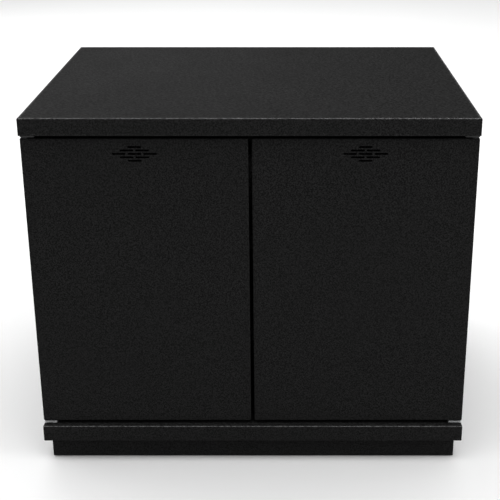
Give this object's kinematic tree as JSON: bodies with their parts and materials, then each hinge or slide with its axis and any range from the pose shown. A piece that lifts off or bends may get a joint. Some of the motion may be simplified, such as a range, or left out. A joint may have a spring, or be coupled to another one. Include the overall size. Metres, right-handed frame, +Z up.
{
  "type": "media cabinet",
  "caption": "Free-standing black sheet-steel media cabinet: double-skinned walls, a pair of full-height hinged doors with small vents, shelves inside, on a recessed plinth.",
  "frame": {"origin": "on the floor, under the middle of the cabinet", "axes": "+Z up; the doors face -Y; +X is to the right of somebody facing the doors"},
  "size_m": [0.762, 0.61, 0.6475],
  "materials": {
    "powder_coat": "fine-textured satin black powder coat",
    "zinc": "zinc plated",
    "black_oxide": "blackened steel",
    "black_plastic": "moulded",
    "magnet": "nickel plated",
    "spring_steel": "drawn wire",
    "rubber": "matt"
  },
  "bodies": {
    "carcass": {"back_panel": "powder_coat", "back_screws": "black_oxide", "base_closing_panel": "powder_coat", "base_pan": "powder_coat", "base_stiffeners": "zinc", "cable_port_trims": "rubber", "frame_bolts": "zinc", "frame_nuts": "zinc", "glide_nuts": "zinc", "header_rail": "powder_coat", "latch_body_left": "black_plastic", "latch_body_right": "black_plastic", "latch_screws": "zinc", "latch_spring_left": "spring_steel", "latch_spring_right": "spring_steel", "pivot_bracket_bolts": "zinc", "pivot_brackets_bottom": "zinc", "pivot_brackets_top": "black_oxide", "pivot_pins": "zinc", "plinth_back": "powder_coat", "plinth_front": "powder_coat", "plinth_gussets": "zinc", "plinth_side_left": "powder_coat", "plinth_side_right": "powder_coat", "shelf_clips": "zinc", "shelf_lower": "powder_coat", "shelf_upper": "powder_coat", "side_liner_left": "powder_coat", "side_liner_right": "powder_coat", "side_panel_left": "powder_coat", "side_panel_right": "powder_coat", "top_closing_panel": "powder_coat", "top_pan": "powder_coat", "top_stiffeners": "zinc"},
    "door_left": {"door_skin_left": "powder_coat", "door_liner_left": "powder_coat", "door_stiffener_left": "zinc", "door_hinge_blocks_left": "zinc", "door_bushes_left": "black_plastic", "strike_plate_left": "zinc", "strike_screws_left": "zinc"},
    "plunger_left": {"latch_plunger_left": "black_plastic", "latch_magnet_left": "magnet"},
    "door_right": {"door_skin_right": "powder_coat", "door_liner_right": "powder_coat", "door_stiffener_right": "zinc", "door_hinge_blocks_right": "zinc", "door_bushes_right": "black_plastic", "strike_plate_right": "zinc", "strike_screws_right": "zinc"},
    "plunger_right": {"latch_plunger_right": "black_plastic", "latch_magnet_right": "magnet"},
    "glide_front_left": {"glide_stud_front_left": "zinc", "glide_pad_front_left": "rubber"},
    "glide_front_right": {"glide_stud_front_right": "zinc", "glide_pad_front_right": "rubber"},
    "glide_back_left": {"glide_stud_back_left": "zinc", "glide_pad_back_left": "rubber"},
    "glide_back_right": {"glide_stud_back_right": "zinc", "glide_pad_back_right": "rubber"}
  },
  "joints": [
    {"name": "door_left_hinge", "type": "hinge", "parent": "carcass", "child": "door_left", "pos_m": [-0.373, -0.2863, 0.345], "axis": [0, 0, -1], "range_deg": [0, 180]},
    {"name": "door_right_hinge", "type": "hinge", "parent": "carcass", "child": "door_right", "pos_m": [0.373, -0.2863, 0.345], "axis": [0, 0, 1], "range_deg": [0, 180]},
    {"name": "latch_left_press", "type": "slide", "parent": "carcass", "child": "plunger_left", "axis": [0, 1, 0], "range_m": [0, 0.0024], "stiffness_N_per_m": 400, "springref_m": -0.002, "deforming": ["latch_spring_left"]},
    {"name": "latch_right_press", "type": "slide", "parent": "carcass", "child": "plunger_right", "axis": [0, 1, 0], "range_m": [0, 0.0024], "stiffness_N_per_m": 400, "springref_m": -0.002, "deforming": ["latch_spring_right"]},
    {"name": "glide_front_left_height", "type": "slide", "parent": "carcass", "child": "glide_front_left", "axis": [0, 0, -1], "range_m": [0, 0.015]},
    {"name": "glide_front_right_height", "type": "slide", "parent": "carcass", "child": "glide_front_right", "axis": [0, 0, -1], "range_m": [0, 0.015]},
    {"name": "glide_back_left_height", "type": "slide", "parent": "carcass", "child": "glide_back_left", "axis": [0, 0, -1], "range_m": [0, 0.015]},
    {"name": "glide_back_right_height", "type": "slide", "parent": "carcass", "child": "glide_back_right", "axis": [0, 0, -1], "range_m": [0, 0.015]}
  ]
}
